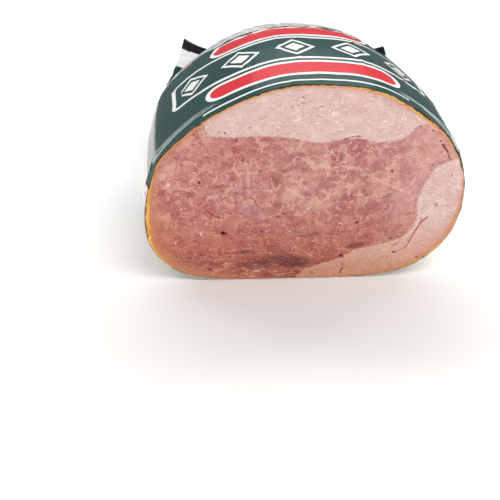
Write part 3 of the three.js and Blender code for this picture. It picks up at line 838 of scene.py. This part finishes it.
def printed_film():
    """Reverse-printed polyethylene film, heat-shrunk and glossy: sharp printed edges, clear
    reflections that break over fine wrinkles."""
    material, tree, shader = new_material("printed_polyethylene_film")
    place = add(tree, "ShaderNodeTexCoord", {}, {}).outputs["Object"]
    mm = add(tree, "ShaderNodeMapping", {}, {"Vector": place, "Scale": (1 / MM,) * 3}).outputs[0]
    sheet = add(tree, "ShaderNodeUVMap", {"uv_map": "print"}, {}).outputs[0]
    stretch = add(tree, "ShaderNodeTexNoise", {}, {"Vector": mm, "Scale": 1 / 30, "Detail": 1.5})
    stretch = add(tree, "ShaderNodeVectorMath", {"operation": "SUBTRACT"},
                  {0: stretch.outputs["Color"], 1: (0.5, 0.5, 0.5)}).outputs[0]
    sheet = add(tree, "ShaderNodeVectorMath", {"operation": "MULTIPLY_ADD"},
                {0: stretch, 1: (4, 4, 0), 2: sheet}).outputs[0]
    split = add(tree, "ShaderNodeSeparateXYZ", {}, {0: sheet})
    u, v = split.outputs["X"], split.outputs["Y"]

    def rounded_field(u_middle, u_half, v_start, v_end, corner):
        """Distance outside a round-cornered field of the print, negative inside, in millimetres."""
        middle = (u_middle, (v_start + v_end) / 2, 0)
        half = (u_half - corner, (v_end - v_start) / 2 - corner, 1e3)
        step = sheet
        for operation, by in (("SUBTRACT", middle), ("ABSOLUTE", (0, 0, 0)),
                              ("SUBTRACT", half), ("MAXIMUM", (0, 0, 0))):
            step = add(tree, "ShaderNodeVectorMath", {"operation": operation}, {0: step, 1: by}).outputs[0]
        length = add(tree, "ShaderNodeVectorMath", {"operation": "LENGTH"}, {0: step}).outputs["Value"]
        return add(tree, "ShaderNodeMath", {"operation": "SUBTRACT"}, {0: length, 1: corner}).outputs[0]

    def lozenges(v_middle, pitch, half_width, half_height):
        """How far into a row of lozenges, 0 at their edges and 1 at their middles."""
        across = add(tree, "ShaderNodeMath", {"operation": "PINGPONG"}, {0: u, 1: pitch / 2}).outputs[0]
        across = add(tree, "ShaderNodeMath", {"operation": "DIVIDE"}, {0: across, 1: half_width}).outputs[0]
        away = add(tree, "ShaderNodeMath", {"operation": "SUBTRACT"}, {0: v, 1: v_middle}).outputs[0]
        away = add(tree, "ShaderNodeMath", {"operation": "ABSOLUTE"}, {0: away}).outputs[0]
        away = add(tree, "ShaderNodeMath", {"operation": "MULTIPLY_ADD"},
                   {0: away, 1: 1 / half_height, 2: across}).outputs[0]
        return add(tree, "ShaderNodeMath", {"operation": "SUBTRACT"}, {0: 1.0, 1: away}).outputs[0]

    edge = 0.12                 # the ink's edges fade over twice this
    side = (PANEL_RIGHT - PANEL_LEFT) / 2
    half_panel = (PANEL_RIGHT + PANEL_LEFT) / 2
    panel = rounded_field(side, half_panel, -60, 114, 42)
    border = rounded_field(side, half_panel + 5.5, -60, 119.5, 46)
    border_end = rounded_field(side, half_panel + 4.2, -60, 118.2, 45)
    front_red = rounded_field(0, 56, 19.5, 36.5, 8.4)
    back_red = rounded_field(0, 50, 91, 107, 7.9)
    banner = rounded_field(0, 84, 43, 86, 7)
    pinstripe = rounded_field(0, 62, 6.4, 8.2, 0.89)
    gem = lozenges(64.5, 34, 12.5, 15)
    banner_gems = add(tree, "ShaderNodeMath", {"operation": "SUBTRACT"}, {
        0: gem, 1: add(tree, "ShaderNodeMath", {"operation": "MAXIMUM"},
                       {0: rounded_field(0, 76, 44, 85, 1), 1: 0.0}).outputs[0]}).outputs[0]
    green, white, red = "#1E4742", "#FBFBFA", "#DC2A36"
    # Noise for the painted highlights and painted shade of the clear film's wrinkles
    wrinkle_glint_place = add(tree, "ShaderNodeMapping", {}, {"Vector": sheet, "Scale": (1 / 5, 1 / 24, 1)})
    wrinkle_glints_and_shade = add(tree, "ShaderNodeTexNoise", {}, {
        "Vector": wrinkle_glint_place.outputs[0], "Scale": 1.0, "Detail": 3.0, "Distortion": 0.6}).outputs["Fac"]
    ink = lay_over(tree, colour("#F0E4DA"), [
        ("#C9CBCF", v, 70, 95, 0.9),
        # Painted highlights and painted shade: white and grey streaks stand for light and shade on the
        # clear film's wrinkles
        ("#A4A9AE", wrinkle_glints_and_shade, 0.52, 0.66, 0.5),
        ("#FAFAFA", wrinkle_glints_and_shade, 0.46, 0.36, 0.6),
        ("#D9605C", border, edge, -edge, 0.8),
        ("#F5EBE3", border_end, edge, -edge, 1),
        (green, panel, edge, -edge, 1),
        (white, front_red, 3.2 + edge, 3.2 - edge, 1),
        (red, front_red, edge, -edge, 1),
        (white, back_red, 3.0 + edge, 3.0 - edge, 1),
        (red, back_red, edge, -edge, 1),
        (white, banner, edge, -edge, 1),
        (green, banner, -3.0 + edge, -3.0 - edge, 1),
        (white, banner_gems, 0.0, 0.03, 1),
        (green, banner_gems, 0.22, 0.25, 1),
        (white, banner_gems, 0.5, 0.53, 1),
        (white, pinstripe, edge, -edge, 1),
        (green, v, 165, 165.3, 1),
        ("#F4F4F2", v, 184, 184.3, 1),
        ("#17181B", v, 194.4, 194.7, 1),
    ])
    wrinkle_place = add(tree, "ShaderNodeMapping", {}, {"Vector": mm, "Scale": (1 / 5, 1 / 22, 1 / 7)})
    wrinkles = add(tree, "ShaderNodeTexNoise", {}, {
        "Vector": wrinkle_place.outputs[0], "Scale": 1.0, "Detail": 3.0}).outputs["Fac"]
    bump = add(tree, "ShaderNodeBump", {}, {"Height": wrinkles, "Strength": 0.45, "Distance": 0.0008})
    tree.links.new(ink, shader.inputs["Base Color"])
    tree.links.new(bump.outputs[0], shader.inputs["Normal"])
    shader.inputs["Roughness"].default_value = 0.19
    shader.inputs["IOR"].default_value = 1.45
    return material


# Making

bpy.context.scene.view_settings.view_transform = "Standard"
coarse_ham = cooked_ham("cooked_ham_coarse")
pale_ham = cooked_ham("cooked_ham_pale")
slab = relief_slab()
cut_muscle("coarse_meat", "ham_coarse_middle", coarse_ham, slab)
cut_muscle("pale_meat_top", "ham_pale_top", pale_ham, slab)
cut_muscle("pale_meat_side", "ham_pale_side", pale_ham, slab)
bpy.data.objects.remove(slab)
film_bag(printed_film())


# Stage

def studio():
    """Plain pale floor, soft lights, and the camera where the photograph was taken."""
    matt, tree, shader = new_material("matt_white_paper")
    shader.inputs["Base Color"].default_value = colour("#F4F3F1")
    shader.inputs["Roughness"].default_value = 0.9
    # The film mirrors the paper round the loaf, but not the wide floor that begins at its edge
    paper_half, floor_half = 0.22, 4.0
    near = bmesh.new()
    bmesh.ops.create_grid(near, x_segments=1, y_segments=1, size=paper_half)
    wide = bmesh.new()
    bmesh.ops.create_grid(wide, x_segments=3, y_segments=3, size=floor_half)
    for vertex in wide.verts:
        for axis in (0, 1):
            if abs(vertex.co[axis]) < floor_half / 2:
                vertex.co[axis] = copysign(paper_half, vertex.co[axis])
    middle = min(wide.faces, key=lambda face: face.calc_center_median().length)
    bmesh.ops.delete(wide, geom=[middle], context="FACES_ONLY")
    for name, bm in (("paper", near), ("floor", wide)):
        ground = object_of(bm, name)
        ground.data.materials.append(matt)
        ground.visible_glossy = name == "paper"

    world = bpy.data.worlds.new("pale_room")
    world.use_nodes = True
    world.node_tree.nodes["Background"].inputs[0].default_value = colour("#F3F5F7")
    world.node_tree.nodes["Background"].inputs[1].default_value = 0.22
    bpy.context.scene.world = world

    # Each light's place, size across and up, and power in watts
    aim = Vector((0, -0.03, 0.06))
    lights = [
        ("key_softbox", (0.4, -0.75, 1.15), 1.0, 0.7, 10.9),
        ("front_fill", (0.3, -1.7, 0.75), 1.0, 0.7, 6.4),
        ("left_strip", (-0.8, 0.6, 0.4), 0.3, 0.9, 5.0),
        ("right_strip", (0.85, 0.6, 0.4), 0.3, 0.9, 5.0),
        ("back_softbox", (0.1, 1.4, 0.75), 0.9, 0.4, 0.6),
        ("floor_wash", (0.0, 2.2, 1.8), 3.0, 1.5, 60.0),
    ]
    for name, place, width, tall, power in lights:
        lamp = bpy.data.lights.new(name, "AREA")
        lamp.shape, lamp.size, lamp.size_y, lamp.energy = "RECTANGLE", width, tall, power
        holder = bpy.data.objects.new(name, lamp)
        holder.location = place
        holder.visible_glossy = name != "floor_wash"
        holder.rotation_euler = (aim - Vector(place)).to_track_quat("-Z", "Y").to_euler()
        bpy.context.scene.collection.objects.link(holder)

    # 26 degrees above level and 3 degrees to the left, with a narrow field of view
    lens = bpy.data.cameras.new("camera")
    lens.lens, lens.sensor_width, lens.sensor_fit = 138.43, 36.0, "HORIZONTAL"
    lens.clip_start, lens.clip_end = 0.01, 50
    right = Vector((0.9986, -0.0523, 0.0))
    up = Vector((0.0229, 0.4378, 0.8988))
    forward = Vector((0.047, 0.8976, -0.4384))
    turn = Matrix((right, up, -forward)).transposed().to_4x4()
    camera = bpy.data.objects.new("camera", lens)
    camera.matrix_world = Matrix.Translation(Vector((-84.14, -1102.95, 509.58)) * MM) @ turn
    bpy.context.scene.collection.objects.link(camera)
    bpy.context.scene.camera = camera


studio()
